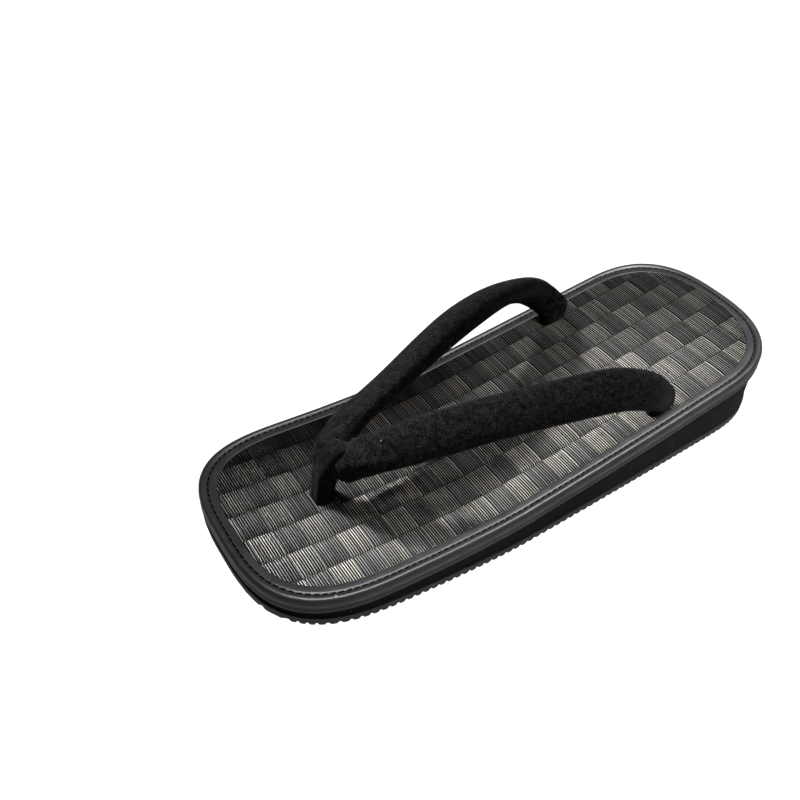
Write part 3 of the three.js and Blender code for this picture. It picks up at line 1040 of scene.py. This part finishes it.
def matFinish():
    material, tree, shader, place = newFinish("woven_strips", Specular_IOR_Level=0.2)
    weave = tree.nodes.new("ShaderNodeUVMap")
    weave.uv_map = "weave"
    split = tree.nodes.new("ShaderNodeSeparateXYZ")
    tree.links.new(weave.outputs["UV"], split.inputs["Vector"])
    rib, row = split.outputs["X"], split.outputs["Y"]
    check = mathNode(tree, "FLOOR", mathNode(tree, "DIVIDE", rib, mat["ribsPerCheck"]))
    band = mathNode(tree, "FLOOR", row)
    dark = mathNode(tree, "FLOORED_MODULO", mathNode(tree, "ADD", check, band), 2)
    shifted = mathNode(tree, "ADD", rib, mathNode(tree, "MULTIPLY", dark, 0.5))
    wave = mathNode(tree, "FRACT", shifted)
    offCrest = mathNode(tree, "ABSOLUTE", mathNode(tree, "SUBTRACT", wave, 0.5))
    ribTopVsGapShade = rangeNode(tree, offCrest, *mat["ribTopVsGapShade"], 1.0, 0.0)
    part = mathNode(tree, "FRACT", row)
    fromEnd = mathNode(tree, "MINIMUM", part, mathNode(tree, "SUBTRACT", 1.0, part))
    # painted shade where the rows change: rib tops there are mixed part way into the dark gap colour
    rowEndShade = rangeNode(tree, fromEnd, 0.0, 0.05, 0.45, 1.0)
    ribTopVsGapShade = mathNode(tree, "MULTIPLY", ribTopVsGapShade, rowEndShade)

    def chance(first, second):
        # one random value for each pair of whole numbers
        pair = tree.nodes.new("ShaderNodeCombineXYZ")
        tree.links.new(first, pair.inputs["X"])
        tree.links.new(second, pair.inputs["Y"])
        noise = tree.nodes.new("ShaderNodeTexWhiteNoise")
        noise.noise_dimensions = "2D"
        tree.links.new(pair.outputs["Vector"], noise.inputs["Vector"])
        return noise.outputs["Value"]

    checkTone = rangeNode(tree, chance(check, band), 0, 1, *mat["checkTone"])
    ribTone = rangeNode(tree, chance(mathNode(tree, "FLOOR", shifted), band), 0, 1, *mat["ribTone"])
    # painted highlight and shade along each row, lighter at a strip's far end
    paintedPillowShade = rangeNode(tree, part, 0, 1, *mat["paintedPillowShade"])
    tone = mathNode(tree, "MULTIPLY", mathNode(tree, "MULTIPLY", checkTone, ribTone), paintedPillowShade)
    strip = mixColours(tree, dark, mat["lightStrip"], mat["darkStrip"])
    shade = tree.nodes.new("ShaderNodeVectorMath")
    shade.operation = "SCALE"
    tree.links.new(strip, shade.inputs["Vector"])
    tree.links.new(tone, shade.inputs["Scale"])
    # rib tops take the strip colour; the gaps between them and the row ends take painted shade
    tree.links.new(mixColours(tree, ribTopVsGapShade, mat["gap"], shade.outputs["Vector"]), shader.inputs["Base Color"])
    gloss = rangeNode(tree, offCrest, *mat["ribGloss"], mat["stripRoughness"], 1.0)
    tree.links.new(gloss, shader.inputs["Roughness"])
    grain = useGroup(tree, grainNodes, place, Scale=1800, Coarse=0.6)
    bumpFrom(tree, shader, grain, 0.05 * mm)
    return material


wovenMat = makeMat()
wovenMat.data.materials.append(matFinish())
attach(wovenMat, "root")
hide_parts("footbed")
print("mat", len(wovenMat.data.polygons), "faces")


# Camera, floor and light

studio = {
    "target": (31.898 * mm, -33.999 * mm, 20 * mm),
    "distance": 375.04 * mm,
    "azimuth": 146.408,
    "elevation": 45.433,
    "roll": 0.807,
    "lens": 37.075,
    "sensor": 36,
    "floorSize": 1.8,
    "floorDrop": 0.05 * mm,
    "floorWhite": (0.88, 0.88, 0.88),
    "floorBounce": (0.25, 0.25, 0.25),  # what it gives back to the sandal's sides
    "skyWhite": (1.0, 1.0, 1.0),
    "skyStrength": 0.03,
    "skyShown": 1.0,  # how bright the sky itself looks
}
# a gridded lamp throws a beam about as wide as itself
# "lights" names the pieces that a lamp is kept to; with none it lights all
lamps = [
    {"name": "softbox", "place": (0.36, -0.81, 0.83), "aim": (0, 0, 0.02),
     "size": (0.35, 0.35), "power": 0.4, "spread": 180, "lights": ()},
    {"name": "key_grid", "place": (0.175, -0.249, 0.308), "aim": (0.05, 0.034, 0.024),
     "size": (0.26, 0.05), "power": 0.11, "spread": 10, "lights": ("woven_mat", "velvet_strap", "toe_loop")},
    {"name": "near_grid_far", "place": (-0.02, -0.11, 0.32), "aim": (-0.01, 0.036, 0.025),
     "size": (0.22, 0.06), "power": 0.0135, "spread": 12, "lights": ()},
    {"name": "near_grid_top", "place": (-0.02, 0.0, 0.35), "aim": (-0.01, 0.036, 0.025),
     "size": (0.22, 0.06), "power": 0.0135, "spread": 12, "lights": ()},
    {"name": "near_grid_near", "place": (-0.02, 0.12, 0.34), "aim": (-0.01, 0.036, 0.025),
     "size": (0.22, 0.06), "power": 0.0135, "spread": 12, "lights": ()},
    {"name": "heel_grid", "place": (-0.17, 0.13, 0.34), "aim": (-0.095, 0.0, 0.03),
     "size": (0.12, 0.12), "power": 0.033, "spread": 20, "lights": ()},
    {"name": "rim_strip", "place": (-0.14, 0.065, 0.55), "aim": (-0.14, 0.065, 0),
     "size": (0.5, 0.12), "power": 2.8, "spread": 120, "lights": ("rim_tape",)},
    {"name": "toe_fill", "place": (0.60, 0.60, 0.90), "aim": (0, 0, 0.02),
     "size": (1.0, 1.0), "power": 0.35, "spread": 180, "lights": ()},
    {"name": "strap_fill", "place": (-0.90, 0.45, 0.50), "aim": (-0.04, 0.04, 0.04),
     "size": (0.5, 0.5), "power": 3.0, "spread": 180, "lights": ("velvet_strap",)},
    {"name": "side_fill", "place": (0.10, 0.90, 0.25), "aim": (0, 0, 0.01),
     "size": (1.2, 0.3), "power": 0.5, "spread": 180, "lights": ("sponge_wedge", "waved_outsole")},
    {"name": "floor_wash", "place": (0, 0, 2.20), "aim": (0, 0, 0),
     "size": (3.0, 3.0), "power": 110.0, "spread": 180, "lights": ("pale_floor",)},
]


def makeCamera():
    turn = Matrix.Rotation(math.radians(studio["azimuth"]), 4, "Z")
    tip = Matrix.Rotation(math.radians(90 - studio["elevation"]), 4, "X")
    roll = Matrix.Rotation(math.radians(studio["roll"]), 4, "Z")
    move = Matrix.Translation(studio["target"])
    back = Matrix.Translation((0, 0, studio["distance"]))
    data = bpy.data.cameras.new("photo_camera")
    data.lens = studio["lens"]
    data.sensor_width = studio["sensor"]
    data.clip_start = 0.01
    camera = bpy.data.objects.new("photo_camera", data)
    camera.matrix_world = move @ turn @ tip @ roll @ back
    bpy.context.collection.objects.link(camera)
    bpy.context.scene.camera = camera


def makeFloor():
    bpy.ops.object.select_all(action="DESELECT")
    bpy.ops.mesh.primitive_plane_add(size=studio["floorSize"], location=(0, 0, -studio["floorDrop"]))
    floor = nameNewest("pale_floor")
    bpy.ops.object.transform_apply(location=True, rotation=True, scale=True)
    finish, tree, shader = newFinish("floor_white", Roughness=0.7)[:3]
    rays = tree.nodes.new("ShaderNodeLightPath")
    tone = mixColours(tree, rays.outputs["Is Camera Ray"], studio["floorBounce"], studio["floorWhite"])
    tree.links.new(tone, shader.inputs["Base Color"])
    floor.data.materials.append(finish)


def makeLight():
    for lamp in lamps:
        data = bpy.data.lights.new(lamp["name"], "AREA")
        data.shape = "RECTANGLE"
        data.size, data.size_y = lamp["size"]
        data.spread = math.radians(lamp["spread"])
        data.energy = lamp["power"]
        light = bpy.data.objects.new(lamp["name"], data)
        back = (Vector(lamp["place"]) - Vector(lamp["aim"])).normalized()
        side = (Vector((1, 0, 0)) - back * back.x).normalized()  # long side level with the sandal
        turn = Matrix((side, back.cross(side), back)).transposed().to_4x4()
        light.matrix_world = Matrix.Translation(lamp["place"]) @ turn
        bpy.context.collection.objects.link(light)
        if lamp["lights"]:
            only = bpy.data.collections.new(lamp["name"] + "_only")
            for lit in lamp["lights"]:
                only.objects.link(bpy.data.objects[lit])
            light.light_linking.receiver_collection = only
            light.light_linking.blocker_collection = only
    world = bpy.data.worlds.new("studio_sky")
    world.use_nodes = True
    tree = world.node_tree
    sky = tree.nodes["Background"]
    sky.inputs["Color"].default_value = (*studio["skyWhite"], 1)
    seen = tree.nodes.new("ShaderNodeLightPath").outputs["Is Camera Ray"]
    strength = rangeNode(tree, seen, 0, 1, studio["skyStrength"], studio["skyShown"])
    tree.links.new(strength, sky.inputs["Strength"])
    bpy.context.scene.world = world
    bpy.context.scene.view_settings.view_transform = "Standard"


makeCamera()
makeFloor()
makeLight()

print("camera, floor and light set")
